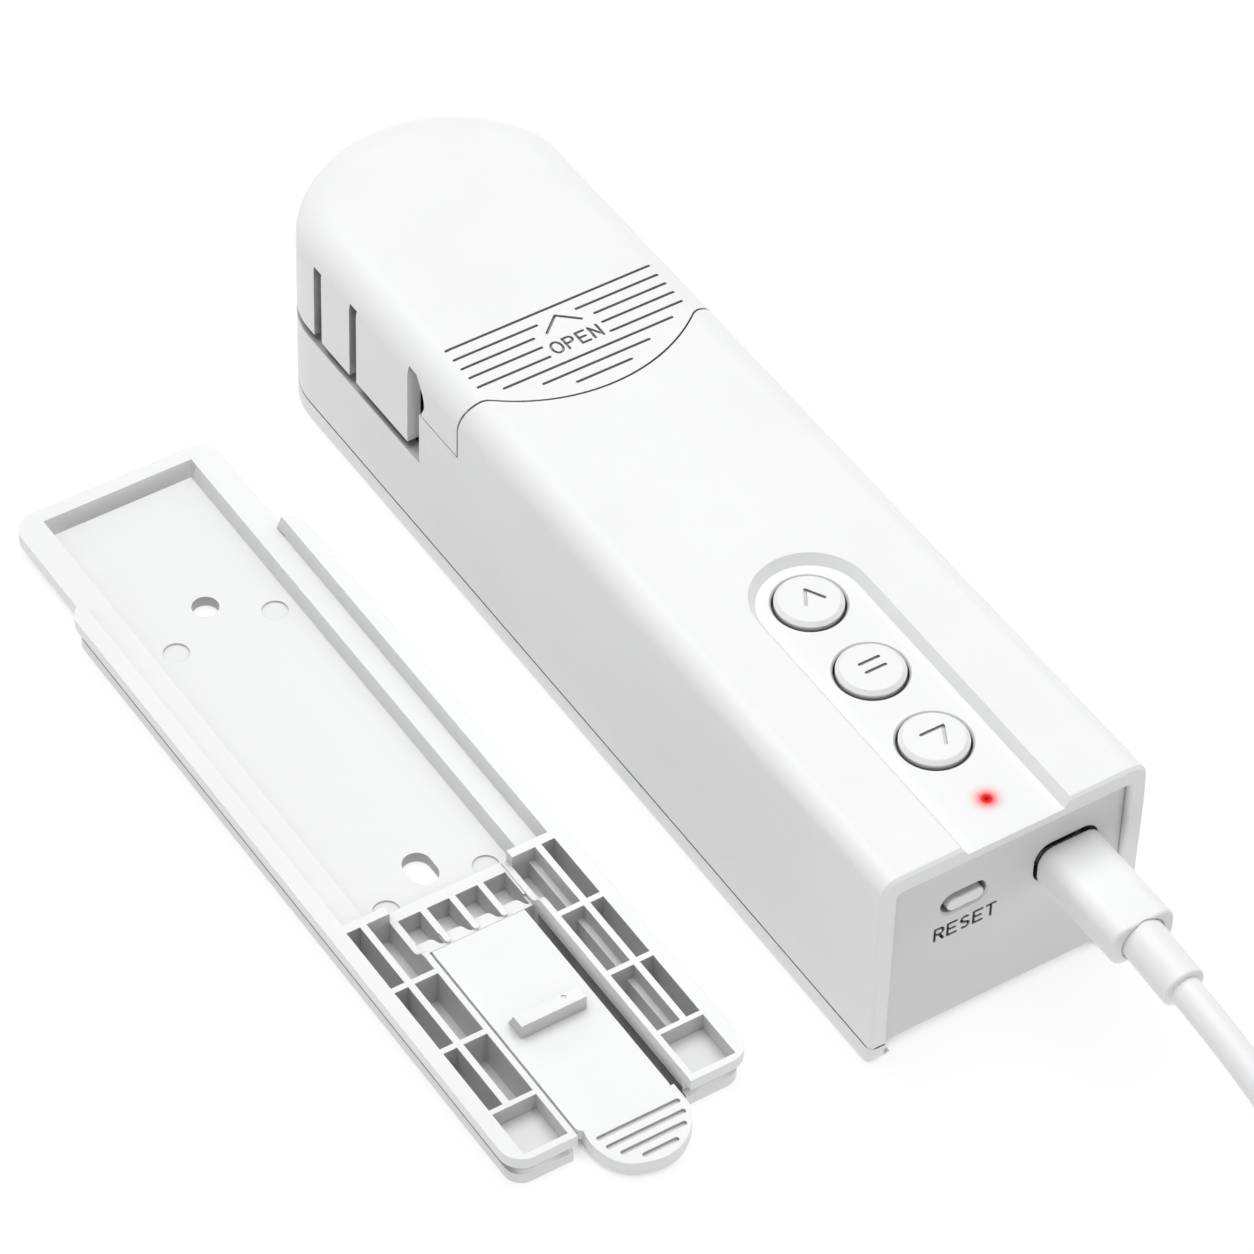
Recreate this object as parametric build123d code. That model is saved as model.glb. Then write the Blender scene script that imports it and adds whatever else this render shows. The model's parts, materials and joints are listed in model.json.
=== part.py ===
from build123d import *
import math
import os

# Chain-drive roller blind motor with its slide-on wall bracket and its charging cable.
# Millimetres. Origin: centre of the back face of the motor body. +X across the body,
# +Y along it towards the rounded (sprocket) end, +Z out of the back towards the buttons.

# ---------------------------------------------------------------- driving dimensions
W = 43.0                 # body width
H = 36.4                 # body height over the back face
Y0 = -82.0               # charging-port end
Y1 = 82.0                # apex of the rounded end
YC = 64.5                # where the straight sides end
RC = 12.0                # corner arcs of the rounded end
R2 = 22.955              # large arc of the rounded end
SEAM = 3.4               # seam between back shell and main housing
WALL = 2.2               # moulded wall
TOP_R0 = 2.8             # top edge rounding at the port end
TOP_R1 = 5.8             # top edge rounding at the rounded end
RIM = 2.65               # rim around the end panel
PANEL_Y = -80.8          # face of the recessed end panel
BACK_Z = 2.45             # roof of the slide channel in the back
CHAN_W = 19.15           # half width of the slide channel
LIP_W = 17.6             # half width between the channel lips
LIP_T = 0.4             # thickness of the channel lips

# buttons
BTN_Y = (-32.85, -47.85, -62.85)
BTN_R = 4.9
BTN_HOLE_R = 5.23
REC_Z = 34.9             # floor of the button channel
REC_TOP_W = 8.8          # half width of the button channel at the top
REC_BOT_W = 7.75
BTN_TOP = 35.8
BTN_TRAVEL = 0.5
LED_Y = -75.1
LED_R = 0.75

# cover over the sprocket
CAP_APEX_Y = 16.3
CAP_SKIRT_Z = 26.5
CAP_TAB_Z = 18.3
WALL_TOP_Z = 16.6        # top of the housing wall below the cover
STEP_Y = 33.7            # housing side step
SEAM_GAP = 0.35

# gear train
PA = math.radians(25)
ADD, DED, BACKLASH = 0.8, 1.05, 0.16
Y_OUT = 62.0
Z_C, Z_B2, M3 = 22, 10, 1.2
Z_B1, Z_A2, M2 = 31, 10, 1.0
Z_A1, Z_P, M1 = 38, 10, 0.8
Y_B = Y_OUT - M3 * (Z_C + Z_B2) / 2
Y_A = Y_B - M2 * (Z_B1 + Z_A2) / 2
Y_M = Y_A - M1 * (Z_A1 + Z_P) / 2
AXLE_R = 1.25
RUN = 0.05               # radial running clearance
SHAFT_R = 2.5
FLOOR_Z = 5.0            # inside floor
COVER_Z0, COVER_Z1 = 14.8, 16.4

# circuit board
USB_X, USB_Z = 10.1, 23.2
PCB_T = 1.6
PCB_TOP = USB_Z - 1.63
RST_X, RST_Z = -6.8, 24.6
PORT_X, PORT_Z = 9.7, 23.9   # middle of the port opening in the panel

# charging plug and cable
OM_W, OM_H, OM_R = 10.1, 6.9, 2.5
OM_Y0, OM_Y1 = -80.95, -98.1
SR_R = 3.3
CABLE_D = 4.6
CR = CABLE_D / 2

# bracket
BX = -54.9               # centre line of the bracket
B_BASE, B_RIM, B_TOP = 1.8, 3.9, 6.0
B_WING_Z = 4.1
B_TONGUE = 3.5           # top of the latch tongue and of the strip that it grows from
B_W, B_NW = 19.0, 16.6   # half widths of the wide and the narrow part
B_Y0, B_YW, B_Y1 = -75.55, 44.0, 65.0
TRAY_W, TRAY_Y0, TRAY_Y1 = 12.28, -27.6, 62.65

os.makedirs("parts", exist_ok=True)


def keep(name, shape):
    solids = [s for s in shape.solids() if s.volume > 1e-4]
    out = solids[0] if len(solids) == 1 else Compound(children=[Solid(s.wrapped) for s in solids])
    export_step(out, "parts/%s.step" % name)
    print("%-22s solids %d  volume %10.2f" % (name, len(solids), sum(s.volume for s in solids)))
    return out


def bx(x0, x1, y0, y1, z0, z1):
    return Pos((x0 + x1) / 2, (y0 + y1) / 2, (z0 + z1) / 2) * Box(abs(x1 - x0), abs(y1 - y0), abs(z1 - z0))


def cyl(x, y, z0, z1, r):
    return Pos(x, y, (z0 + z1) / 2) * Cylinder(r, z1 - z0)


def cyl_y(x, z, y0, y1, r):
    return Pos(x, (y0 + y1) / 2, z) * Rot(90, 0, 0) * Cylinder(r, abs(y1 - y0))


def face(*edges):
    return Face(Wire(list(edges)))


def prism(f, z0, z1):
    return extrude(Pos(0, 0, z0) * f, amount=z1 - z0, dir=(0, 0, 1))


def poly(pts):
    pts = list(pts)
    return Face(Wire([Line(pts[i], pts[(i + 1) % len(pts)]) for i in range(len(pts))]))


def obround_y(x, z, y0, y1, w, h):
    # obround section (w wide along X, h high along Z) run along Y
    s = Plane(origin=(x, min(y0, y1), z), x_dir=(1, 0, 0), z_dir=(0, 1, 0)) * SlotOverall(w, h)
    return extrude(s, amount=abs(y1 - y0), dir=(0, 1, 0))


def rrect_y(x, z, y0, y1, w, h, r):
    # rounded rectangle (w wide along X, h high along Z) run along Y
    s = Plane(origin=(x, min(y0, y1), z), x_dir=(1, 0, 0), z_dir=(0, 1, 0)) * RectangleRounded(w, h, r)
    return extrude(s, amount=abs(y1 - y0), dir=(0, 1, 0))


# ---------------------------------------------------------------- body outlines
def outline(o, y_start):
    w = W / 2 - o
    r1, r2 = RC - o, R2 - o
    cx = W / 2 - RC
    yb = Y1 - R2
    n = math.hypot(cx, YC - yb)
    ux, uy = cx / n, (YC - yb) / n
    tx, ty = cx + r1 * ux, YC + r1 * uy
    a = math.atan2(uy, ux) / 2
    mx, my = cx + r1 * math.cos(a), YC + r1 * math.sin(a)
    arcs = [
        ThreePointArc((w, YC), (mx, my), (tx, ty)),
        ThreePointArc((tx, ty), (0, yb + r2), (-tx, ty)),
        ThreePointArc((-tx, ty), (-mx, my), (-w, YC)),
    ]
    base = Line((-w, y_start), (w, y_start))
    if y_start > YC - 1e-6:
        return face(base, *arcs)
    return face(base, Line((w, y_start), (w, YC)), *arcs, Line((-w, YC), (-w, y_start)))


def section(y, r, z0, z1, w):
    k = r * (1 - math.sqrt(0.5))
    f = face(
        Line((-w, z0), (w, z0)),
        Line((w, z0), (w, z1 - r)),
        ThreePointArc((w, z1 - r), (w - k, z1 - k), (w - r, z1)),
        Line((w - r, z1), (-w + r, z1)),
        ThreePointArc((-w + r, z1), (-w + k, z1 - k), (-w, z1 - r)),
        Line((-w, z1 - r), (-w, z0)),
    )
    return Plane(origin=(0, y, 0), x_dir=(1, 0, 0), z_dir=(0, -1, 0)) * f


straight = loft([section(Y0, TOP_R0, SEAM, H, W / 2), section(YC, TOP_R1, SEAM, H, W / 2)], ruled=True)
end = prism(outline(0, YC), SEAM, H)
top_end = [e for e in end.edges() if abs(e.center().Z - H) < 1e-3 and e.geom_type == GeomType.CIRCLE]
end = fillet(top_end, TOP_R1)
outer = straight + end

inner = prism(outline(WALL, -78.6), SEAM - 1, H - WALL)
top_in = [e for e in inner.edges() if abs(e.center().Z - (H - WALL)) < 1e-3 and abs(e.center().Y + 78.6) > 0.01]
inner = fillet(top_in, 3.0)
shell = outer - inner


# plan of the split between housing and sliding cover
def cover_plan(dy=0.0, far=95.0):
    R = 27.0
    yc = CAP_APEX_Y + R
    xa = 16.9
    ya = yc - math.sqrt(R * R - xa * xa)
    # big arc, a short bend over the top edge, then nearly straight across the side
    pts = [(xa, ya), (xa + 0.709, ya + 0.444), (xa + 1.5, ya + 0.714), (23.0, ya + 1.708)]
    q = [(x, y + dy) for x, y in pts]
    m = [(-x, y) for x, y in q]
    return face(Line(m[3], m[2]), ThreePointArc(m[2], m[1], m[0]), ThreePointArc(m[0], (0, CAP_APEX_Y + dy), q[0]),
                ThreePointArc(q[0], q[1], q[2]), Line(q[2], q[3]),
                Line(q[3], (23.0, far)), Line((23.0, far), (-23.0, far)), Line((-23.0, far), m[3]))


# ---------------------------------------------------------------- engraved strokes
def stroke(a, b, w, depth, top):
    (x0, y0), (x1, y1) = a, b
    L = math.hypot(x1 - x0, y1 - y0)
    ang = math.degrees(math.atan2(y1 - y0, x1 - x0))
    s = SlotCenterToCenter(L, w)
    return prism(Pos((x0 + x1) / 2, (y0 + y1) / 2) * Rot(0, 0, ang) * s, top - depth, top + 0.6)


def ring(cx, cy, rx, ry, w, depth, top):
    return prism(Pos(cx, cy) * (Ellipse(rx, ry) - Ellipse(rx - w, ry - w)), top - depth, top + 0.6)


def letters(text, cx, cy, h, w, pitch, depth, top):
    """Plain stroke capitals, centred on (cx, cy), h high."""
    out = []
    lw = 0.62 * h
    x = cx - pitch * (len(text) - 1) / 2
    for ch in text:
        L, R_, B, T, M = x - lw / 2, x + lw / 2, cy - h / 2, cy + h / 2, cy
        seg = []
        if ch == "O":
            out.append(ring(x, cy, 0.46 * h, h / 2 + w / 2, w, depth, top))
        elif ch in "PR":
            r = h / 4
            seg = [((L, B), (L, T)), ((L, T), (R_ - r, T)), ((L, M), (R_ - r, M))]
            arc = [(R_ - r + r * math.sin(math.radians(t)), T - r + r * math.cos(math.radians(t))) for t in range(0, 181, 30)]
            seg += list(zip(arc[:-1], arc[1:]))
            if ch == "R":
                seg.append(((x, M), (R_, B)))
        elif ch == "E":
            seg = [((L, B), (L, T)), ((L, T), (R_, T)), ((L, M), (R_ - 0.1 * h, M)), ((L, B), (R_, B))]
        elif ch == "N":
            seg = [((L, B), (L, T)), ((L, T), (R_, B)), ((R_, B), (R_, T))]
        elif ch == "T":
            seg = [((L, T), (R_, T)), ((x, T), (x, B))]
        elif ch == "S":
            p = []
            r = h / 4
            for t in range(50, 271, 44):
                p.append((x + 1.15 * r * math.cos(math.radians(t)), T - r + r * math.sin(math.radians(t))))
            for t in range(90, -131, -44):
                p.append((x + 1.15 * r * math.cos(math.radians(t)), B + r + r * math.sin(math.radians(t))))
            seg = list(zip(p[:-1], p[1:]))
        for a, b in seg:
            if math.hypot(a[0] - b[0], a[1] - b[1]) > 1e-3:
                out.append(stroke(a, b, w, depth, top))
        x += pitch
    return out


def cut_all(body, tools):
    t = tools[0]
    for k in tools[1:]:
        t = t + k
    return body - t


# ---------------------------------------------------------------- main housing
housing = shell
# opening for the end panel, framed by the rim
panel_open = bx(-W / 2 + RIM, W / 2 - RIM, Y0 - 1, -78.0, SEAM - 1, H - 3.1)
panel_open = fillet([e for e in panel_open.edges() if abs(e.center().Z - (H - 3.1)) < 1e-3 and abs(abs(e.center().X) - (W / 2 - RIM)) < 1e-3], 0.8)
housing = housing - panel_open
# cover side: the housing is cut back along the split line and below the tabs
housing = housing - prism(cover_plan(-SEAM_GAP), CAP_SKIRT_Z - 0.2, H + 5)
housing = housing - bx(-30, 30, STEP_Y, 95, WALL_TOP_Z, H + 5)
# bulkhead behind the split, and the ledge that the cover rests on
room = prism(outline(WALL - 0.3, -60), 4, H - WALL + 0.3)
bulk = (prism(cover_plan(-1.95), COVER_Z1 + 0.1, H - WALL + 0.3) - prism(cover_plan(-SEAM_GAP), 0, 60))
bulk = bulk & prism(outline(WALL - 0.3, -60), 4, H - 1.0)
ledge = (prism(cover_plan(-1.95), 32.3, 33.95) - prism(cover_plan(1.3), 0, 60)) & prism(outline(WALL + 3.2, -60), 4, H)
housing = housing + bulk + ledge
# thick pad under the button channel
housing = housing + bx(-10.9, 10.9, -78.6, -22.0, REC_Z - 2.2, H - WALL + 0.2)
# screw posts: four for the back shell, four for the circuit board
HS = [(-16.8, -74.2), (16.8, -74.2), (-16.8, -11.5), (16.8, -11.5)]
PS = [(-14.2, -66.5), (14.2, -66.5), (-14.2, -28.0), (14.2, -28.0)]
for x, y in HS:
    housing = housing + cyl(x, y, FLOOR_Z, H - WALL + 0.2, 2.1)
for x, y in PS:
    housing = housing + cyl(x, y, PCB_TOP, H - WALL + 0.2, 2.2)
for x, y in HS:
    housing = housing - cyl(x, y, FLOOR_Z - 1, 14.0, 1.0)
for x, y in PS:
    housing = housing - cyl(x, y, PCB_TOP - 1, 28.0, 0.85)
housing = housing & outer


# button channel with sloping sides, round at the last button
def chan(w, z, grow):
    yc = BTN_Y[0] - 0.65
    return Pos(0, 0, z) * face(Line((-w, Y0 - 3), (w, Y0 - 3)), Line((w, Y0 - 3), (w, yc)),
                               ThreePointArc((w, yc), (0, yc + w), (-w, yc)), Line((-w, yc), (-w, Y0 - 3)))


slope = (REC_TOP_W - REC_BOT_W) / (H - REC_Z)
housing = housing - loft([chan(REC_BOT_W, REC_Z, 0), chan(REC_TOP_W + slope * 0.5, H + 0.5, 0)], ruled=True)
for y in BTN_Y:
    housing = housing - cyl(0, y, 30, 40, BTN_HOLE_R)
    housing = housing - Pos(0, y, REC_Z - 0.15) * Cone(BTN_HOLE_R, BTN_HOLE_R + 0.3, 0.3)
housing = housing - cyl(0, LED_Y, 30, 40, LED_R)
# shadow gap above the seam, and the softened edges of the rim
GROOVE = 0.7
groove_ring = prism(outline(-1.0, Y0 - 1), SEAM - 0.15, SEAM + 0.2) - prism(outline(GROOVE, Y0 + GROOVE), SEAM - 1, SEAM + 1)
housing = housing - groove_ring
rim_out = [e for e in housing.edges() if abs(e.center().Y - Y0) < 1e-3 and e.center().Z > SEAM + 0.5
           and (abs(abs(e.center().X) - W / 2) < 0.01 or (abs(e.center().Z - H) < 0.01 and abs(e.center().X) > REC_TOP_W) or (e.geom_type == GeomType.CIRCLE and e.center().Z > H - 2.0 and abs(e.center().X) > W / 2 - 2.0))]
housing = chamfer(rim_out, 0.45)
rim_in = [e for e in housing.edges() if abs(e.center().Y - Y0) < 1e-3 and SEAM + 1 < e.center().Z < H - 2.2 and abs(e.center().X) < W / 2 - RIM + 0.05]
housing = chamfer(rim_in, 0.25)
keep("main_housing", housing)

# ---------------------------------------------------------------- sliding cover
cap = shell & (prism(cover_plan(0), CAP_SKIRT_Z, H + 1) + bx(-30, 30, STEP_Y + 0.2, 95, CAP_TAB_Z, H + 1))
# vertical slots between the tabs, both sides
for y0, y1, zt in ((51.0, 52.9, 32.3), (60.7, 62.8, 31.7)):
    cap = cap - bx(-30, 30, y0, y1, 0, zt)
k = face(Line((33.2, 10), (36.9, 10)), Line((36.9, 10), (36.9, 33.0)), Line((36.9, 33.0), (35.0, 33.0)),
         ThreePointArc((35.0, 33.0), (33.2, 31.5), (32.4, 28.4)), Line((32.4, 28.4), (32.9, 27.3)), Line((32.9, 27.3), (33.2, 10)))
slot3 = extrude(Plane(origin=(-30, 0, 0), x_dir=(0, 1, 0), z_dir=(1, 0, 0)) * k, amount=60, dir=(1, 0, 0))
cap = cap - slot3
# two chain ports in the rounded end, open at the lower edge
for s in (-1, 1):
    cap = cap - bx(s * 9.6 - 3.4, s * 9.6 + 3.4, 70, 90, 0, 27.2)
# guide ribs inside the tabs
for s in (-1, 1):
    for y0, y1 in ((37.4, 49.8), (53.5, 60.1)):
        cap = cap + bx(s * 18.35, s * 19.5, y0, y1, 18.8, 19.6)
# ribbed grip field, arrow and lettering, all engraved
G = 0.46
lines = [((-17, 33.8), (17, 33.8))]
for y, a in ((31.6, 3.3), (29.5, 5.1), (27.4, 5.1), (25.2, 5.1)):
    lines += [((-17, y), (-a, y)), ((a, y), (17, y))]
lines += [((-14, 23.1), (14, 23.1)), ((-8.8, 21.0), (8.8, 21.0)), ((-4.5, 18.9), (4.5, 18.9))]
lines += [((-2.9, 29.5), (0, 32.0)), ((0, 32.0), (2.9, 29.5))]
tools = [stroke(a, b, G, 0.6, H) for a, b in lines]
tools += letters("OPEN", 0, 26.3, 2.2, 0.42, 2.15, 0.5, H)
cap = cut_all(cap, tools)
keep("sliding_cover", cap)

# ---------------------------------------------------------------- back shell
back = prism(outline(0, Y0), 0, SEAM)
back = back + prism(outline(WALL + 0.2, -78.4), SEAM - 0.1, FLOOR_Z)
back = back + (prism(outline(WALL + 0.2, -77.3), FLOOR_Z - 0.1, 7.0) - prism(outline(WALL + 1.4, -76.1), 4, 8))
# slide channel: lips along both sides, closed towards the rounded end
back = back - bx(-LIP_W, LIP_W, Y0 - 1, 62.3, -1, BACK_Z)
back = back - bx(-CHAN_W, CHAN_W, Y0 - 1, 44.6, LIP_T, BACK_Z)
back = back - bx(-W / 2 + RIM, W / 2 - RIM, Y0 - 1, -78.4, BACK_Z - 0.1, SEAM + 1)
# low pad between the legs of the bracket, with the catch pocket for the wedge of the latch
back = back + (bx(-8.4, 8.4, -77.5, -42.0, 1.95, BACK_Z + 0.1) - bx(-5.9, 5.9, -58.85, -55.0, 1, 3))
nose = [e for e in back.edges() if abs(e.center().Y - Y0) < 1e-3 and abs(abs(e.center().X) - W / 2) < 1e-3 and abs(e.center().Z - SEAM / 2) < 0.2]
back = fillet(nose, 1.3)
low = [e for e in back.edges() if abs(e.center().Z) < 1e-3 and abs(abs(e.center().X) - W / 2) < 1e-2 and e.length > 50]
back = chamfer(low, 0.5)
# the ends of the two rails are round, and the seam has its share of the shadow gap
back = back - (bx(-30, 30, Y0 - 1, Y0 + 1.9, -1, 1.9) - Pos(0, Y0 + 1.9, 1.9) * Rot(0, 90, 0) * Cylinder(1.9, 70))
back = back - groove_ring
CS = [(-16.7, 31.8), (16.7, 31.8), (-16.7, 53.4), (16.7, 53.4)]
for x, y in CS:
    back = back + cyl(x, y, FLOOR_Z - 0.2, COVER_Z0, 2.4)
for y in (-71.6, -13.4):
    back = back + bx(-14.5, 14.5, y - 0.6, y + 0.6, FLOOR_Z - 0.2, 9.0)
# posts that the cover plate of the gear case stands on at its front
for x in (-17.2, 17.2):
    back = back + bx(x - 1.6, x + 1.6, -7.5, -4.5, FLOOR_Z - 0.2, COVER_Z0)
for x, y in CS:
    back = back - cyl(x, y, 6.5, COVER_Z0 + 1, 0.95)
for x, y in HS:
    back = back - cyl(x, y, 0, 8, 1.15) - cyl(x, y, 0, 4.25, 2.3) - cyl(x, y, FLOOR_Z, 8, 2.3)
for y in (Y_A, Y_B):
    back = back - cyl(0, y, 3.75, 8, AXLE_R)
back = back - cyl(0, Y_OUT, 3.75, 8, 1.5 + RUN)
keep("back_shell", back)

# ---------------------------------------------------------------- end panel with port opening
pz0, pz1 = BACK_Z, H - 3.15
pw = W / 2 - RIM - 0.05
panel = bx(-pw, pw, PANEL_Y, -78.6, pz0, pz1)
panel = fillet([e for e in panel.edges() if abs(e.center().Z - pz1) < 1e-3 and abs(abs(e.center().X) - pw) < 1e-3], 0.75)
panel = panel + bx(-19.2, 19.2, -78.6, -77.5, FLOOR_Z + 0.05, 31.0)
port = rrect_y(PORT_X, PORT_Z, -84, -76, 10.5, 7.3, 2.7)
panel = panel - port - obround_y(RST_X, RST_Z, -84, -76, 7.4, 3.7)
lip = loft([Plane(origin=(RST_X, PANEL_Y - 0.01, RST_Z), x_dir=(1, 0, 0), z_dir=(0, 1, 0)) * SlotOverall(8.0, 4.3),
            Plane(origin=(RST_X, PANEL_Y + 0.3, RST_Z), x_dir=(1, 0, 0), z_dir=(0, 1, 0)) * SlotOverall(7.4, 3.7)], ruled=True)
panel = panel - lip
pl = Plane(origin=(0, PANEL_Y, 0), x_dir=(1, 0, 0), z_dir=(0, -1, 0))
sunk = letters("RESET", -6.35, 19.55, 2.2, 0.46, 2.1, 0.5, 0.0)
t = sunk[0]
for q in sunk[1:]:
    t = t + q
panel = panel - pl.location * t
keep("end_panel", panel)

# ---------------------------------------------------------------- gears
def gear(m, z, phase):
    rp = m * z / 2
    rb = rp * math.cos(PA)
    ra = rp + ADD * m
    rf = rp - DED * m
    half = math.pi / (2 * z) - BACKLASH / (2 * rp)
    inv = math.tan(PA) - PA
    rs = max(rb, rf)
    fl = []
    n = 6
    for i in range(n + 1):
        r = rs + (ra - rs) * i / n
        a = math.acos(min(1.0, rb / r))
        fl.append((r, half + inv - (math.tan(a) - a)))
    pts = []
    for k in range(z):
        c = phase + 2 * math.pi * k / z
        seq = []
        if rf < rs:
            seq.append((rf, fl[0][1]))
        seq += fl
        for r, th in seq:
            pts.append((r * math.cos(c - th), r * math.sin(c - th)))
        pts.append((ra * math.cos(c), ra * math.sin(c)))
        for r, th in reversed(seq):
            pts.append((r * math.cos(c + th), r * math.sin(c + th)))
        g = c + math.pi / z
        pts.append((rf * math.cos(g), rf * math.sin(g)))
    return poly(pts)


UP, DN = math.pi / 2, -math.pi / 2


def wheel(m, z, y, z0, z1, web, hub_r):
    # spur wheel with a thinned web between hub and rim
    g = Pos(0, y) * gear(m, z, DN + math.pi / z)
    w = prism(g, z0, z1)
    rf = m * z / 2 - DED * m
    for a0, a1 in ((z0 - 1, z0 + web), (z1 - web, z1 + 1)):
        w = w - (cyl(0, y, a0, a1, rf - 1.6) - cyl(0, y, a0 - 1, a1 + 1, hub_r))
    return w


def pinion(m, z, y, z0, z1):
    return prism(Pos(0, y) * gear(m, z, UP), z0, z1)


g1 = wheel(M1, Z_A1, Y_A, 12.0, 14.2, 0.5, 7.2) + pinion(M2, Z_A2, Y_A, 8.6, 12.0) + cyl(0, Y_A, FLOOR_Z + 0.2, 8.6, 2.8) + cyl(0, Y_A, 14.1, 14.6, 2.8)
g1 = g1 - cyl(0, Y_A, 0, 20, AXLE_R + RUN)
keep("first_gear", g1)
g2 = wheel(M2, Z_B1, Y_B, 8.8, 11.5, 0.6, 8.0) + pinion(M3, Z_B2, Y_B, 5.4, 8.8) + cyl(0, Y_B, 11.4, 14.6, 2.8)
g2 = g2 - cyl(0, Y_B, 0, 20, AXLE_R + RUN)
keep("second_gear", g2)
g3 = wheel(M3, Z_C, Y_OUT, 5.5, 8.3, 0.6, 6.5)
g3 = g3 - cyl(0, Y_OUT, 0, 20, SHAFT_R)
keep("output_gear", g3)
keep("gear_axles", Compound(children=[cyl(0, y, 3.75, 16.0, AXLE_R) for y in (Y_A, Y_B)]))

# output shaft, its bushing, the chain wheel and its screw
shaft = cyl(0, Y_OUT, 5.1, 26.6, SHAFT_R) + cyl(0, Y_OUT, 3.9, 5.2, 1.5)
shaft = shaft - cyl(0, Y_OUT, 18.0, 28.0, 1.2)
keep("output_shaft", shaft)
bush = (cyl(0, Y_OUT, COVER_Z0 - 0.6, COVER_Z1, 4.5) + cyl(0, Y_OUT, COVER_Z0 - 1.4, COVER_Z0, 5.6)) - cyl(0, Y_OUT, 0, 30, SHAFT_R + RUN)
keep("output_bushing", bush)

BEAD_R, PITCH, POCKETS = 2.45, 6.0, 10
PR = PITCH / (2 * math.sin(math.pi / POCKETS))
SPZ = 22.2
sp = cyl(0, Y_OUT, SPZ - 4.3, SPZ + 4.3, 11.3)
sp = sp - (cyl(0, Y_OUT, SPZ + 3.2, SPZ + 9, 7.0) - cyl(0, Y_OUT, SPZ, SPZ + 10, 4.2))
prof = poly([(10.2, SPZ - 0.5), (10.2, SPZ + 0.5), (11.8, SPZ + 2.2), (11.8, SPZ - 2.2)])
prof = Plane(origin=(0, Y_OUT, 0), x_dir=(1, 0, 0), z_dir=(0, -1, 0)) * prof
sp = sp - revolve(prof, axis=Axis((0, Y_OUT, 0), (0, 0, 1)), revolution_arc=360)
for i in range(POCKETS):
    sp = sp - Pos(0, Y_OUT, SPZ) * Rot(0, 0, 360 * (i + 0.5) / POCKETS) * Pos(PR, 0, 0) * Rot(0, 90, 0) * Sphere(BEAD_R)
sp = sp - cyl(0, Y_OUT, 0, 60, SHAFT_R)
keep("chain_wheel", sp)
scr = cyl(0, Y_OUT, 26.6, 28.4, 4.2) + cyl(0, Y_OUT, 19.0, 26.6, 1.2)
scr = scr - bx(-2.4, 2.4, Y_OUT - 0.4, Y_OUT + 0.4, 27.6, 29) - bx(-0.4, 0.4, Y_OUT - 2.4, Y_OUT + 2.4, 27.6, 29)
keep("chain_wheel_screw", scr)

# ---------------------------------------------------------------- gear case cover
gc = prism(outline(WALL + 0.25, -8.6), COVER_Z0, COVER_Z1)
for s in (-1, 1):
    for y0, y1 in ((37.0, 50.2), (57.0, 63.8)):
        rail = bx(s * 17.0, s * 18.9, y0, y1, COVER_Z1 - 0.1, 21.4) - bx(s * 18.15, s * 19.4, y0 - 1, y1 + 1, 18.55, 19.85)
        gc = gc + rail
# chain guard behind the wheel: half a ring
guard = (cyl(0, Y_OUT, COVER_Z1 - 0.1, 26.0, 14.6) - cyl(0, Y_OUT, 0, 40, 13.2)) - bx(-30, 30, Y_OUT - 1.0, 90, 0, 40)
gc = gc + guard
for x, y in CS:
    gc = gc - cyl(x, y, 10, 20, 1.25)
for y in (Y_A, Y_B):
    gc = gc - cyl(0, y, 10, 16.0, AXLE_R)
    gc = gc - cyl(0, y, 10, COVER_Z0, 3)
gc = gc - cyl(0, Y_OUT, 10, 40, 4.5) - cyl(0, Y_M, 10, 40, 3.0)
for x in (-7.0, 7.0):
    gc = gc - cyl(x, Y_M, 10, 40, 1.0)
keep("gear_cover", gc)


def screw_down(x, y, z_seat, length, r, hr, hh):
    s = cyl(x, y, z_seat, z_seat + hh, hr) + cyl(x, y, z_seat - length, z_seat, r)
    return s - bx(x - 0.7 * hr, x + 0.7 * hr, y - 0.22, y + 0.22, z_seat + 0.5 * hh, z_seat + hh + 1) - bx(x - 0.22, x + 0.22, y - 0.7 * hr, y + 0.7 * hr, z_seat + 0.5 * hh, z_seat + hh + 1)


def screw_up(x, y, z_seat, length, r, hr, hh):
    s = cyl(x, y, z_seat - hh, z_seat, hr) + cyl(x, y, z_seat, z_seat + length, r)
    return s - bx(x - 0.7 * hr, x + 0.7 * hr, y - 0.22, y + 0.22, z_seat - hh - 1, z_seat - 0.5 * hh) - bx(x - 0.22, x + 0.22, y - 0.7 * hr, y + 0.7 * hr, z_seat - hh - 1, z_seat - 0.5 * hh)


keep("cover_screws", Compound(children=[screw_down(x, y, COVER_Z1, 8.5, 0.95, 1.9, 1.2) for x, y in CS]))
keep("housing_screws", Compound(children=[screw_up(x, y, 4.25, 9.0, 1.0, 2.1, 0.95) for x, y in HS]))
keep("board_screws", Compound(children=[screw_up(x, y, PCB_TOP - PCB_T, 7.0, 0.85, 1.7, 1.1) for x, y in PS]))
keep("motor_screws", Compound(children=[screw_up(x, Y_M, COVER_Z0, 3.6, 0.9, 1.6, 1.2) for x in (-7.0, 7.0)]))

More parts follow.
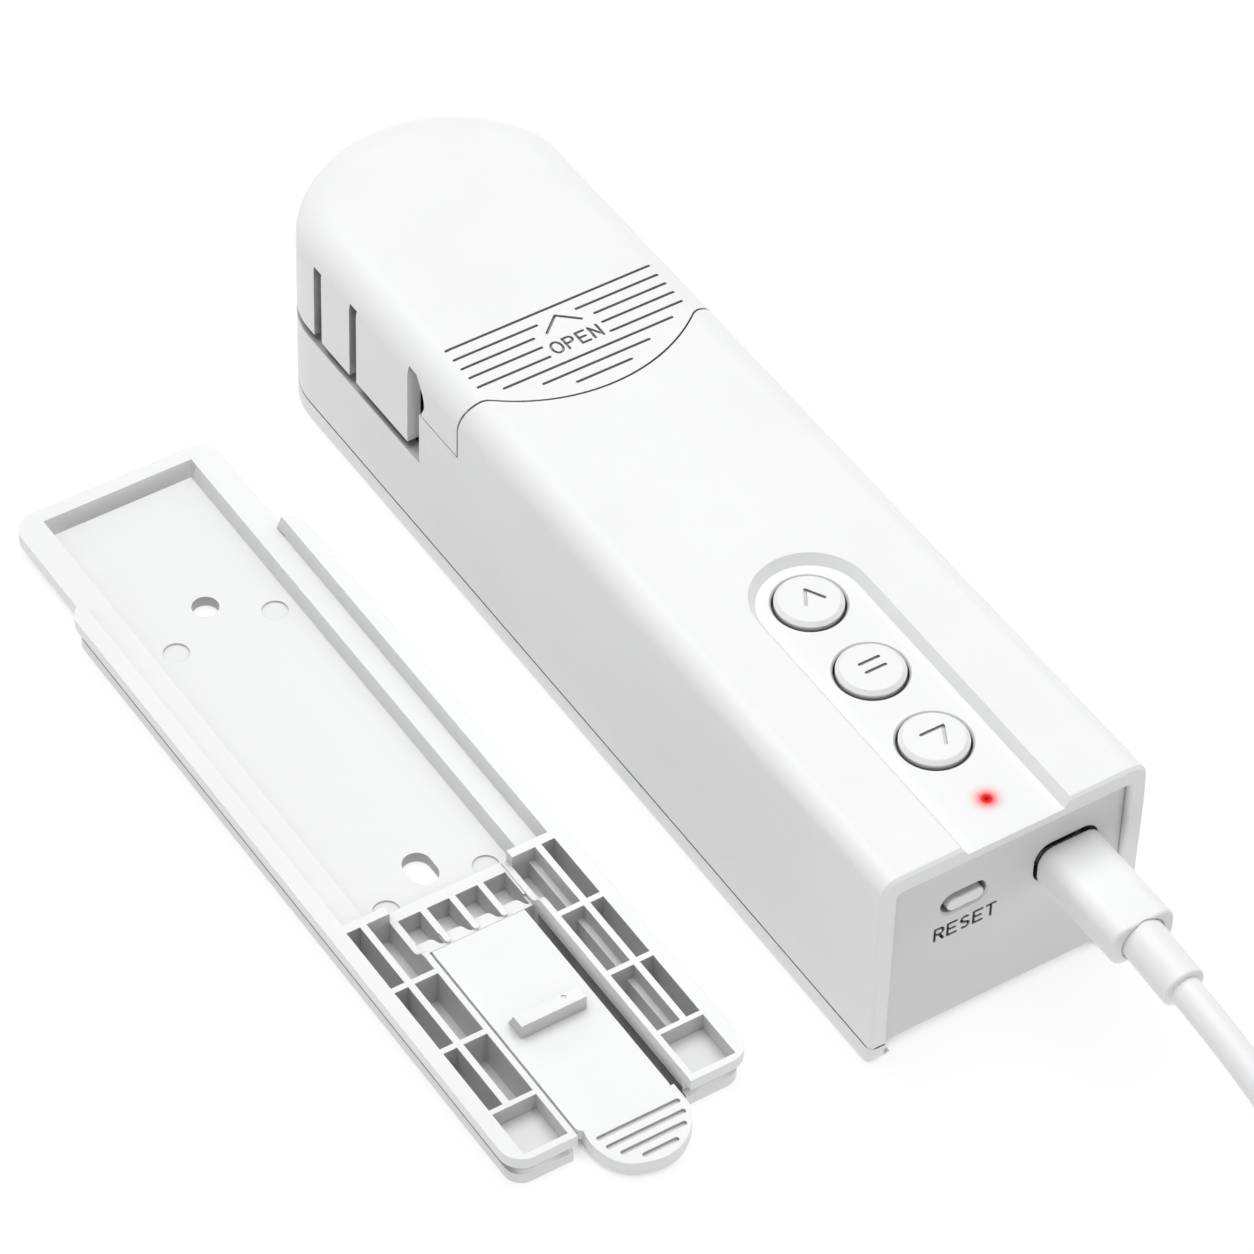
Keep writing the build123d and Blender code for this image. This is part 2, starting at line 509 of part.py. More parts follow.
# ---------------------------------------------------------------- drive motor
can = cyl(0, Y_M, COVER_Z1, 31.6, 10.0)
can = fillet([e for e in can.edges() if abs(e.center().Z - 31.6) < 1e-3], 0.8)
can = can + cyl(0, Y_M, 15.0, COVER_Z1 + 0.1, 3.0)
can = can - cyl(0, Y_M, 10, 30.6, 1.0 + RUN) - cyl(-7, Y_M, 10, 18.5, 0.9) - cyl(7, Y_M, 10, 18.5, 0.9)
keep("motor_can", can)
bell = cyl(0, Y_M, 31.6, 32.6, 8.6) + bx(-5.2, -3.2, Y_M - 0.4, Y_M + 0.4, 32.5, 33.6) + bx(3.2, 5.2, Y_M - 0.4, Y_M + 0.4, 32.5, 33.6)
keep("motor_end_bell", bell)
keep("motor_shaft", cyl(0, Y_M, 11.7, 30.4, 1.0))
keep("motor_pinion", pinion(M1, Z_P, Y_M, 11.8, 14.4) - cyl(0, Y_M, 0, 40, 1.0))

# ---------------------------------------------------------------- circuit board and what is on it
pcb = bx(-17.2, 17.2, -77.2, -24.0, PCB_TOP - PCB_T, PCB_TOP)
for s in (-1, 1):
    pcb = pcb - bx(s * 13.4, s * 20, -80, -71.2, 0, 40)
for x, y in PS:
    pcb = pcb - cyl(x, y, 0, 40, 1.0)
keep("circuit_board", pcb)
for name, y in (("up", BTN_Y[0]), ("pause", BTN_Y[1]), ("down", BTN_Y[2])):
    base = bx(-3, 3, y - 3, y + 3, PCB_TOP, 28.2) - cyl(0, y, 26.6, 30, 1.8)
    keep("switch_%s" % name, base)
    keep("plunger_%s" % name, cyl(0, y, 27.4, 29.6, 1.7))
    b = cyl(0, y, 31.6, BTN_TOP, BTN_R)
    b = chamfer([e for e in b.edges() if abs(e.center().Z - BTN_TOP) < 1e-3], 0.6)
    b = fillet([e for e in b.edges() if abs(e.center().Z - BTN_TOP) < 1e-3], 0.3)
    b = b + cyl(0, y, 31.4, 32.4, 6.1) + cyl(0, y, 29.6, 31.6, 2.0)
    if name == "up":
        sy = [((-1.08, y - 0.78), (0.44, y + 1.73)), ((0.44, y + 1.73), (1.91, y - 0.84))]
    elif name == "pause":
        sy = [((-1.17, y + 1.15), (1.9, y + 1.15)), ((-1.17, y - 0.55), (1.9, y - 0.55))]
    else:
        sy = [((-1.44, y + 1.12), (2.11, y + 1.09)), ((2.11, y + 1.09), (0.58, y - 1.82))]
    b = cut_all(b, [stroke(a, c, 0.5, 0.35, BTN_TOP) for a, c in sy])
    keep("button_%s" % name, b)

rsw = bx(RST_X - 3, RST_X + 3, -74.4, -70.9, PCB_TOP, 26.6) - cyl_y(RST_X, RST_Z, -75, -72.9, 1.5)
keep("reset_switch", rsw)
keep("reset_plunger", cyl_y(RST_X, RST_Z, -76.6, -73.7, 1.4))
rb = obround_y(RST_X + 0.35, RST_Z - 0.6, -80.7, -77.3, 5.9, 2.2)
rb = fillet([e for e in rb.edges() if abs(e.center().Y + 80.7) < 1e-3], 0.25)
rb = rb + obround_y(RST_X, RST_Z, -77.4, -76.6, 8.6, 4.6)
keep("reset_button", rb)

chip = bx(-7.0, -0.5, -43.5, -36.5, PCB_TOP - PCB_T - 1.0, PCB_TOP - PCB_T)
drv = bx(6.0, 11.0, -42.0, -38.0, PCB_TOP - PCB_T - 1.4, PCB_TOP - PCB_T)
keep("control_chips", Compound(children=[chip, drv]))
keep("indicator_led", Pos(0, LED_Y, (PCB_TOP + 23.2) / 2) * Box(1.6, 1.6, 23.2 - PCB_TOP))
lp = cyl(0, LED_Y, 23.3, REC_Z, LED_R - 0.02) + cyl(0, LED_Y, 31.5, REC_Z - 2.2, 1.5)
keep("led_light_pipe", lp)

# charging socket: folded steel shell and its contact tongue
sock = obround_y(USB_X, USB_Z, -79.4, -72.1, 8.94, 3.26) - obround_y(USB_X, USB_Z, -80, -72.7, 8.36, 2.52)
keep("charging_socket", sock)
keep("socket_tongue", bx(USB_X - 3.3, USB_X + 3.3, -78.6, -72.7, USB_Z - 0.35, USB_Z + 0.35))

# battery, its plug on the board and the loose leads
bat = bx(-15.5, 15.5, -70.6, -14.6, FLOOR_Z, 17.0)
bat = fillet([e for e in bat.edges() if abs(e.center().Y + 42.6) < 0.1], 3.0)
keep("battery_pack", bat)
keep("battery_connector", bx(-12.5, -4.5, -34.5, -29.0, 17.3, PCB_TOP - PCB_T))


def wire(pts, r, radii):
    p = FilletPolyline(*pts, radius=radii)
    t0 = p % 0
    return sweep(Plane(origin=p @ 0, z_dir=t0) * Circle(r), path=p)


lead = [wire([(x, -14.6, 13.0), (x, -10.6, 13.0), (x, -10.6, 18.8), (x, -17.0, 18.8), (x - 5.5, -24.5, 18.8), (x - 5.5, -29.0, 18.8)], 0.6, [1.6, 1.8, 3.0, 3.0]) for x in (-2.0, -0.2)]
keep("battery_leads", Compound(children=lead))
ml = [wire([(s * 4.2, Y_M - 0.4, 33.25), (s * 4.2, -12.0, 33.25), (s * 4.2, -20.5, 30.0), (s * 4.2, -25.6, 26.2), (s * 4.2, -25.6, PCB_TOP)], 0.6, [4.0, 3.0, 1.8]) for s in (-1, 1)]
keep("motor_leads", Compound(children=ml))

# ---------------------------------------------------------------- charging plug and cable
plug = obround_y(USB_X, USB_Z, OM_Y0, -73.4, 8.25, 2.40) - obround_y(USB_X, USB_Z, OM_Y0 + 1.6, -73.0, 7.55, 1.70)
keep("plug_shell", plug)
om = rrect_y(USB_X, USB_Z, OM_Y1, OM_Y0, OM_W, OM_H, OM_R)
om = fillet([e for e in om.edges() if abs(e.center().Y - OM_Y1) < 1e-3], 0.5)
SR_Z = USB_Z - 0.15
om = om - (cyl_y(USB_X, SR_Z, OM_Y1 - 1, OM_Y1 + 0.55, SR_R + 0.25) - cyl_y(USB_X, SR_Z, OM_Y1 - 2, OM_Y1 + 2, SR_R))
keep("plug_overmould", om)
# the strain relief and the cable start to droop
TILT = 5.0
d0 = Vector(0, -math.cos(math.radians(TILT)), -math.sin(math.radians(TILT)))
SR0 = Vector(USB_X, OM_Y1, SR_Z)
SR_L = 9.4
SR1 = SR0 + d0 * SR_L
sr = Plane(origin=SR0 - d0 * 1.5, z_dir=d0) * Pos(0, 0, (SR_L + 1.5) / 2) * Cylinder(SR_R, SR_L + 1.5)
sr = sr - bx(-20, 40, OM_Y1, OM_Y1 + 10, 0, 60)
sr = fillet([e for e in sr.edges() if e.geom_type == GeomType.CIRCLE and (e.arc_center - SR1).length < 0.05], 0.4)
keep("plug_strain_relief", sr)


def tube(pts, r, name):
    vs = [Vector(*p) for p in pts]
    radii = []
    for i in range(1, len(vs) - 1):
        a, b = vs[i] - vs[i - 1], vs[i + 1] - vs[i]
        turn = a.get_angle(b)
        rad = 0.45 * min(a.length, b.length) / math.tan(math.radians(turn) / 2)
        radii.append(rad)
        print("  %s corner %d turn %.1f deg radius %.1f mm (%.1f diameters), runs %.1f %.1f" % (name, i, turn, rad, rad / (2 * r), a.length, b.length))
    p = FilletPolyline(*[(v.X, v.Y, v.Z) for v in vs], radius=radii)
    t = sweep(Plane(origin=p @ 0, z_dir=p % 0) * Circle(r), path=p)
    print("  %s length %.1f volume %.1f section x length %.1f" % (name, p.length, t.volume, math.pi * r * r * p.length))
    return t


# coil of the put-away length on the floor: centre, and middle radius of its turns
CX, CY, CRAD = 44.5, -163.0, 27.0
a_in = math.radians(208)
r_in = CRAD + CABLE_D
P_in = (CX + (r_in - 0.2) * math.cos(a_in), CY + (r_in - 0.2) * math.sin(a_in), CR + 0.1)
SR2 = SR1 + d0 * 16.0
lead_pts = [(SR1.X, SR1.Y, SR1.Z), (SR2.X, SR2.Y, SR2.Z), (10.1, -138.9, 14.8), (10.0, -153.6, 6.5), (10.6, -166.5, CR + 0.1), P_in]
print("  lead points", [tuple(round(v, 3) for v in p) for p in lead_pts])
cable_lead = tube(lead_pts, CR, "cable_lead")
# closed ring of the coil: three turns below, two nested above
hw = 1.5 * CABLE_D + 0.2
prof = face(Line((CRAD - hw + 0.9, 0), (CRAD + hw, 0)),
            Line((CRAD + hw, 0), (CRAD + hw, CABLE_D - 0.4)), Line((CRAD + hw, CABLE_D - 0.4), (CRAD + CABLE_D, 1.87 * CABLE_D)),
            Line((CRAD + CABLE_D, 1.87 * CABLE_D), (CRAD - CABLE_D, 1.87 * CABLE_D)), Line((CRAD - CABLE_D, 1.87 * CABLE_D), (CRAD - hw, CABLE_D - 0.4)),
            Line((CRAD - hw, CABLE_D - 0.4), (CRAD - hw, CR)), Line((CRAD - hw, CR), (CRAD - hw + 0.9, 0)))
prof = Plane(origin=(CX, CY, 0), x_dir=(1, 0, 0), z_dir=(0, -1, 0)) * prof
coil = revolve(prof, axis=Axis((CX, CY, 0), (0, 0, 1)), revolution_arc=360)
keep("cable_coil", coil)
cable_lead = cable_lead - coil
print("  lead pieces", [round(q.volume, 3) for q in cable_lead.solids()])
keep("cable_lead", max(cable_lead.solids(), key=lambda q: q.volume))
# short tail from the coil to the second plug, which lies beside the coil
A0 = math.radians(20)
tail_pts = [(CX + r_in * math.cos(A0), CY + r_in * math.sin(A0), CR + 1.0), (CX + 26.6, CY + 22.5, CR + 0.8), (CX + 23.2, CY + 33.5, 3.9), (CX + 18.8, CY + 44.5, 3.9)]
keep("cable_tail", tube(tail_pts, CR, "cable_tail") - coil)
tv = (Vector(*tail_pts[-1]) - Vector(*tail_pts[-2])).normalized()
tz = Vector(0, 0, 1)
tv = Vector(tv.X, tv.Y, 0).normalized()
T0 = Vector(*tail_pts[-1])
apl = Plane(origin=(T0.X, T0.Y, 3.9), x_dir=tv, z_dir=(0, 0, 1))


def abox(l0, l1, w, z0, z1):
    return apl.location * (Pos((l0 + l1) / 2, 0, (z0 + z1) / 2) * Box(l1 - l0, w, z1 - z0))


aom = abox(0, 19, 15.0, -3.9, 3.9)
aom = fillet([e for e in aom.edges()], 1.4)
keep("usb_a_overmould", aom)
ash = abox(18.9, 31, 12.0, -2.25, 2.25) - abox(19.6, 40, 11.3, -1.9, 1.9)
ash = ash - abox(0, 19.0, 20, -5, 5)
keep("usb_a_shell", ash)
keep("usb_a_tongue", abox(19.6, 30.4, 11.2, 0.0, 1.85))

# ---------------------------------------------------------------- wall bracket
def rrect(x0, x1, y0, y1, z0, z1, r, where="all"):
    b = bx(x0, x1, y0, y1, z0, z1)
    es = []
    for e in b.edges():
        c = e.center()
        if abs(c.Z - (z0 + z1) / 2) < 1e-6 and abs(e.length - abs(z1 - z0)) < 1e-6:
            if where == "all" or (where == "top" and abs(c.Y - y1) < 1e-6) or (where == "bot" and abs(c.Y - y0) < 1e-6):
                es.append(e)
    return fillet(es, r)


def mirx(u0, u1, y0, y1, z0, z1):
    return bx(u0, u1, y0, y1, z0, z1) + bx(-u1, -u0, y0, y1, z0, z1)


LEG_Y1 = -27.85                      # top of the lattice legs
plate = rrect(-18.15, 18.15, B_Y0 + 0.85, B_YW - 0.85, 0, B_BASE, 2.6)
plate = plate + rrect(-B_NW + 0.85, B_NW - 0.85, 20, B_Y1 - 0.85, 0, B_BASE, 3.0, "top")
plate = plate + rrect(-17.0, 17.0, B_Y0 + 2.0, B_YW - 2.0, B_BASE, B_WING_Z, 2.0)
plate = plate + rrect(-B_NW, B_NW, 20, B_Y1, B_BASE, B_RIM, 3.7, "top")
plate = plate + rrect(-B_W, B_W, B_Y0, B_YW, B_WING_Z, B_TOP, 3.4)
# sunk middle between the raised side strips
w0, w1 = 15.7, 16.44
cutf = [Pos(0, 0, B_RIM) * poly([(-w0, LEG_Y1), (w0, LEG_Y1), (w0, B_YW + 2), (-w0, B_YW + 2)]),
        Pos(0, 0, B_TOP + 0.5) * poly([(-w1 - 0.18, LEG_Y1), (w1 + 0.18, LEG_Y1), (w1 + 0.18, B_YW + 2), (-w1 - 0.18, B_YW + 2)])]
plate = plate - loft(cutf, ruled=True)
# tray
tb = 0.85
tray = loft([Pos(0, 0, B_BASE) * poly([(-TRAY_W + tb, TRAY_Y0 + 0.1), (TRAY_W - tb, TRAY_Y0 + 0.1), (TRAY_W - tb, TRAY_Y1 - 1.4), (-TRAY_W + tb, TRAY_Y1 - 1.4)]),
             Pos(0, 0, B_RIM + 0.01) * poly([(-TRAY_W, TRAY_Y0), (TRAY_W, TRAY_Y0), (TRAY_W, TRAY_Y1), (-TRAY_W, TRAY_Y1)])], ruled=True)
plate = plate - tray
# between the legs the rail height drops to the rim height
ROOT_Y = -36.3
plate = plate - bx(-8.9, 8.9, ROOT_Y - 0.1, LEG_Y1 + 0.01, B_RIM, 9)
plate = plate - bx(-8.9, 8.9, ROOT_Y - 0.1, -34.25, B_TONGUE, 9)
# the inner walls of the legs start low and rise to the full height in an S
rise = face(Line((LEG_Y1 + 0.01, 4.1), (-35.3, 4.1)), ThreePointArc((-35.3, 4.1), (-36.2, 4.37), (-36.9, 5.05)),
            ThreePointArc((-36.9, 5.05), (-37.6, 5.73), (-38.5, B_TOP)), Line((-38.5, B_TOP), (-38.5, 9)),
            Line((-38.5, 9), (LEG_Y1 + 0.01, 9)), Line((LEG_Y1 + 0.01, 9), (LEG_Y1 + 0.01, 4.1)))
rise = extrude(Plane(origin=(-9.8, 0, 0), x_dir=(0, 1, 0), z_dir=(1, 0, 0)) * rise, amount=19.6, dir=(1, 0, 0))
plate = plate - rise
# opening for the latch tongue, right through
plate = plate - bx(-8.9, 8.9, B_Y0 - 3, ROOT_Y, -1, 9)
# lattice cells of the legs
CELL_Z = 0.4
for y0, y1 in ((-40.9, -29.3), (-53.4, -41.8), (-65.8, -54.3)):
    plate = plate - mirx(9.8, 13.5, y0, y1, CELL_Z, 9) - mirx(14.5, 16.65, y0, y1, CELL_Z, 9)
    plate = plate + bx(12.55, 13.55, y0 - 0.1, y1 + 0.1, CELL_Z - 0.1, 3.4)
plate = plate - mirx(9.8, 16.65, -74.5, -66.6, 3.0, 9)
# small cells of the cross row, each running further out beside its right-hand rib
for u0 in (-8.65, -4.05, 0.5, 5.0):
    u1 = u0 + 3.55
    cell = face(Line((u0, -29.5), (u0, -34.25)), Line((u0, -34.25), (u0 + 1.9, -34.25)),
                Spline((u0 + 1.9, -34.25), (u0 + 2.65, -34.75), (u0 + 3.0, -35.5), (u1, -35.8)),
                Line((u1, -35.8), (u1, -29.5)), Line((u1, -29.5), (u0, -29.5)))
    plate = plate - prism(cell, CELL_Z, 9)
for u in (-4.525, 0.0, 4.525):
    plate = plate + prism(Pos(u, -34.2) * Rot(0, 0, 90) * SlotOverall(3.9, 0.9), B_TONGUE - 0.2, B_RIM)
# screw hole and slotted screw hole
SH_Y, SL_Y, SH_R, SL_W, SL_L = 37.5, -21.3, 2.0, 4.2, 6.2
plate = plate - cyl(0, SH_Y, -1, 9, SH_R)
plate = plate - prism(Pos(0, SL_Y) * Rot(0, 0, 90) * SlotOverall(SL_L, SL_W), -1, 9)
for u, y in ((8.1, 31.7), (-8.1, 31.7), (8.0, -25.5), (-8.0, -25.5)):
    plate = plate - cyl(u, y, B_BASE - 0.3, 9, 1.95)
plate = Pos(BX, 0, 0) * plate
keep("bracket_plate", plate)

# latch tongue: flexes about its root at the cross row
TZ0, TZ1 = 1.7, B_TONGUE
tg = rrect(-7.4, 7.4, -73.6, ROOT_Y - 0.07, TZ0, TZ1, 1.2, "bot")
tab = [(-6.6, -73.0), (7.9, -73.0), (7.9, -76.4), (7.0, -79.0), (5.3, -80.9), (2.7, -82.5), (0.2, -82.9),
       (-2.6, -82.3), (-5.3, -80.7), (-6.7, -77.9), (-7.0, -75.7), (-6.9, -74.6)]
th = prism(Face(Wire([Line(tab[-1], tab[0]), Line(tab[0], tab[1]), Line(tab[1], tab[2]), Spline(*tab[2:])])), TZ1 - 2.3, TZ1)
tg = tg + th
for y, a, b in ((-75.7, -5.6, 6.7), (-77.6, -5.3, 6.4), (-79.4, -4.2, 5.4), (-81.2, -1.9, 3.0)):
    tg = tg - stroke((a, y), (b, y), 0.8, 0.5, TZ1)
# wedge that catches in the pocket of the back shell, with its mould mark
wf = poly([(-55.8, TZ1 - 0.1), (-55.7, TZ1 + 2.4), (-53.6, TZ1 + 2.4), (-52.3, TZ1 - 0.1)])
wedge = extrude(Plane(origin=(-5.2, 0, 0), x_dir=(0, 1, 0), z_dir=(1, 0, 0)) * wf, amount=10.3, dir=(1, 0, 0))
wedge = wedge - cyl(2.4, -54.2, TZ1 + 2.25, TZ1 + 5, 0.4)
tg = tg + wedge
keep("latch_tongue", Pos(BX, 0, 0) * tg)
print("ratios", -Z_P / Z_A1, (Z_P / Z_A1) * (Z_A2 / Z_B1), -(Z_P / Z_A1) * (Z_A2 / Z_B1) * (Z_B2 / Z_C), "Y", Y_M, Y_A, Y_B, Y_OUT)
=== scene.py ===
import json
import math

import bmesh
import bpy
from mathutils import Matrix, Vector


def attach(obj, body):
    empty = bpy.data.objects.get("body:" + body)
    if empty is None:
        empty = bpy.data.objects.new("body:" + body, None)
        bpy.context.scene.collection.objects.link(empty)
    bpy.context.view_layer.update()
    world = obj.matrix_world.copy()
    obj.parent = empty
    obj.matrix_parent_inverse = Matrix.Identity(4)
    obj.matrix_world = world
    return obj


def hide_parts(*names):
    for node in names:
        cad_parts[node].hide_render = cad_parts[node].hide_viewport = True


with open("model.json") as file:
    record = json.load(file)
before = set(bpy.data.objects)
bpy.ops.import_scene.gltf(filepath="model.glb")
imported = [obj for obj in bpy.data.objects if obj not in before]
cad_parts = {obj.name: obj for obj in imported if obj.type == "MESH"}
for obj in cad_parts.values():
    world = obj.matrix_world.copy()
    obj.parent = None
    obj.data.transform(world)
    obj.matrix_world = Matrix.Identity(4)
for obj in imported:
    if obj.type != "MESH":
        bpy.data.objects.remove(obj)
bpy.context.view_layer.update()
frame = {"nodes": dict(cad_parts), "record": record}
NODES = frame["nodes"]
scene = bpy.context.scene
BODY_OF = {n: b for b, ns in frame["record"]["behaviour"]["bodies"].items() for n in ns}
SLOT_OF = {s["node"]: s["material_slot"] for s in frame["record"]["subparts"]}


# ------------------------------------------------------------------ camera
AZ, EL, ROLL = math.radians(-34.132), math.radians(46.040), math.radians(1.945)
DIST, TARGET = 0.926521, Vector((-0.004726, 0.004140, 0.0))
back = Vector((math.sin(AZ) * math.cos(EL), -math.cos(AZ) * math.cos(EL), math.sin(EL)))
right = Vector((math.cos(AZ), math.sin(AZ), 0.0))
up = back.cross(right)
cr, sr = math.cos(ROLL), math.sin(ROLL)
R1, U1 = right * cr + up * sr, up * cr - right * sr
cam_data = bpy.data.cameras.new("camera")
cam_data.sensor_width = 36.0
cam_data.lens = 6479.06 / 1254.0 * 36.0
cam_data.clip_start, cam_data.clip_end = 0.05, 30.0
cam = bpy.data.objects.new("camera", cam_data)
scene.collection.objects.link(cam)
loc = TARGET + back * DIST
cam.matrix_world = Matrix(((R1.x, U1.x, back.x, loc.x), (R1.y, U1.y, back.y, loc.y), (R1.z, U1.z, back.z, loc.z), (0, 0, 0, 1)))
scene.camera = cam


# ------------------------------------------------------------------ material kit
def new_mat(name):
    m = bpy.data.materials.new(name)
    m.use_nodes = True
    nt = m.node_tree
    for n in list(nt.nodes):
        nt.nodes.remove(n)
    out = nt.nodes.new("ShaderNodeOutputMaterial")
    bsdf = nt.nodes.new("ShaderNodeBsdfPrincipled")
    nt.links.new(bsdf.outputs["BSDF"], out.inputs["Surface"])
    tc = nt.nodes.new("ShaderNodeTexCoord")
    return m, nt, bsdf, tc


def noise(nt, tc, scale, detail=3.0, rough=0.55, stretch=None):
    n = nt.nodes.new("ShaderNodeTexNoise")
    n.inputs["Scale"].default_value = scale
    n.inputs["Detail"].default_value = detail
    n.inputs["Roughness"].default_value = rough
    src = tc.outputs["Object"]
    if stretch:
        mp = nt.nodes.new("ShaderNodeMapping")
        mp.inputs["Scale"].default_value = stretch
        nt.links.new(src, mp.inputs["Vector"])
        src = mp.outputs["Vector"]
    nt.links.new(src, n.inputs["Vector"])
    return n


def ramp(nt, src, lo, hi, a=0.3, b=0.7):
    r = nt.nodes.new("ShaderNodeMapRange")
    r.inputs["From Min"].default_value = a
    r.inputs["From Max"].default_value = b
    r.inputs["To Min"].default_value = lo
    r.inputs["To Max"].default_value = hi
    nt.links.new(src, r.inputs["Value"])
    return r.outputs["Result"]


def mix(nt, fac, c0, c1):
    m = nt.nodes.new("ShaderNodeMix")
    m.data_type = "RGBA"
    m.inputs[6].default_value = (*c0, 1.0)
    m.inputs[7].default_value = (*c1, 1.0)
    nt.links.new(fac, m.inputs[0])
    return m.outputs[2]


def bump(nt, bsdf, layers):
    prev = None
    for src, strength, dist in layers:
        b = nt.nodes.new("ShaderNodeBump")
        b.inputs["Strength"].default_value = strength
        b.inputs["Distance"].default_value = dist
        nt.links.new(src, b.inputs["Height"])
        if prev is not None:
            nt.links.new(prev, b.inputs["Normal"])
        prev = b.outputs["Normal"]
    nt.links.new(prev, bsdf.inputs["Normal"])


def math_node(nt, op, a, b=None):
    n = nt.nodes.new("ShaderNodeMath")
    n.operation = op
    for i, v in enumerate((a, b)):
        if v is None:
            continue
        if isinstance(v, (int, float)):
            n.inputs[i].default_value = v
        else:
            nt.links.new(v, n.inputs[i])
    return n.outputs[0]


def between(nt, src, lo, hi):
    return math_node(nt, "MULTIPLY", math_node(nt, "GREATER_THAN", src, lo), math_node(nt, "LESS_THAN", src, hi))


def xyz(nt, tc, node):
    """Object coordinates of a CAD node, moved so that they read as the frame's own."""
    off = NODES[node].matrix_world.translation
    mp = nt.nodes.new("ShaderNodeMapping")
    mp.inputs["Location"].default_value = (off.x, off.y, off.z)
    nt.links.new(tc.outputs["Object"], mp.inputs["Vector"])
    sep = nt.nodes.new("ShaderNodeSeparateXYZ")
    nt.links.new(mp.outputs["Vector"], sep.inputs["Vector"])
    return sep.outputs[0], sep.outputs[1], sep.outputs[2]


def recolour(nt, bsdf, fac, colour):
    """Puts a second colour over what already feeds the base colour, where fac is 1."""
    link = bsdf.inputs["Base Color"].links[0]
    src = link.from_socket
    m = nt.nodes.new("ShaderNodeMix")
    m.data_type = "RGBA"
    nt.links.new(fac, m.inputs[0])
    nt.links.new(src, m.inputs[6])
    m.inputs[7].default_value = (*colour, 1.0)
    nt.links.new(m.outputs[2], bsdf.inputs["Base Color"])


def painted_groove_shade(mat, node, xr, yr, zr, colour):
    """Painted shade: a dark fill in the bottom of engraved strokes, standing in for the shade in the grooves, inside
    one box of the frame.
    """
    nt = mat.node_tree
    bsdf = [n for n in nt.nodes if n.type == "BSDF_PRINCIPLED"][0]
    tc = [n for n in nt.nodes if n.type == "TEX_COORD"][0]
    x, y, z = xyz(nt, tc, node)
    f = math_node(nt, "MULTIPLY", math_node(nt, "MULTIPLY", between(nt, x, *xr), between(nt, y, *yr)), between(nt, z, *zr))
    recolour(nt, bsdf, f, colour)


def painted_occlusion_shade(mat, dist, closed, open_, colour, amount, local=True, node=None, where=None):
    """Painted shade: darkens the base colour by ambient occlusion where the surface is closed in: narrow gaps, pockets
    and inner corners.
    """
    nt = mat.node_tree
    bsdf = [n for n in nt.nodes if n.type == "BSDF_PRINCIPLED"][0]
    tc = [n for n in nt.nodes if n.type == "TEX_COORD"][0]
    ao = nt.nodes.new("ShaderNodeAmbientOcclusion")
    ao.samples = 8
    ao.only_local = local
    ao.inputs["Distance"].default_value = dist
    f = ramp(nt, ao.outputs["AO"], amount, 0.0, closed, open_)
    if where:
        f = math_node(nt, "MULTIPLY", f, where(nt, *xyz(nt, tc, node)))
    recolour(nt, bsdf, f, colour)


def plastic(name, base, rough=0.42, grain=4200.0, depth=0.10, tint=0.975, spec=0.45, sss=0.0, flow=True):
    """Moulded plastic: fine spark-eroded grain, faint flow clouding, gloss that varies a little from place to place."""
    m, nt, b, tc = new_mat(name)
    cloud = noise(nt, tc, 38.0, 4.0, 0.6)
    grainy = noise(nt, tc, grain, 2.0, 0.5)
    dark = tuple(c * tint for c in base)
    nt.links.new(mix(nt, ramp(nt, cloud.outputs["Fac"], 0.0, 1.0), base, dark), b.inputs["Base Color"])
    mid = noise(nt, tc, 300.0, 3.0, 0.6)
    nt.links.new(ramp(nt, mid.outputs["Fac"], rough - 0.05, rough + 0.06), b.inputs["Roughness"])
    layers = [(grainy.outputs["Fac"], depth, 0.00003)]
    if flow:
        wave = noise(nt, tc, 90.0, 2.0, 0.4)
        layers.insert(0, (wave.outputs["Fac"], 0.05, 0.0002))
    bump(nt, b, layers)
    b.inputs["Specular IOR Level"].default_value = spec
    if sss:
        b.inputs["Subsurface Weight"].default_value = sss
        b.inputs["Subsurface Radius"].default_value = (0.0012, 0.0011, 0.0010)
        b.inputs["Subsurface Scale"].default_value = 1.0
    return m


def metal(name, base, rough=0.3, stretch=None, scale=900.0, depth=0.15):
    m, nt, b, tc = new_mat(name)
    fine = noise(nt, tc, scale, 3.0, 0.6, stretch)
    cloud = noise(nt, tc, 120.0, 3.0, 0.6)
    nt.links.new(mix(nt, ramp(nt, cloud.outputs["Fac"], 0.0, 1.0), base, tuple(c * 0.86 for c in base)), b.inputs["Base Color"])
    nt.links.new(ramp(nt, fine.outputs["Fac"], rough - 0.08, rough + 0.12), b.inputs["Roughness"])
    bump(nt, b, [(fine.outputs["Fac"], depth, 0.00002)])
    b.inputs["Metallic"].default_value = 1.0
    return m


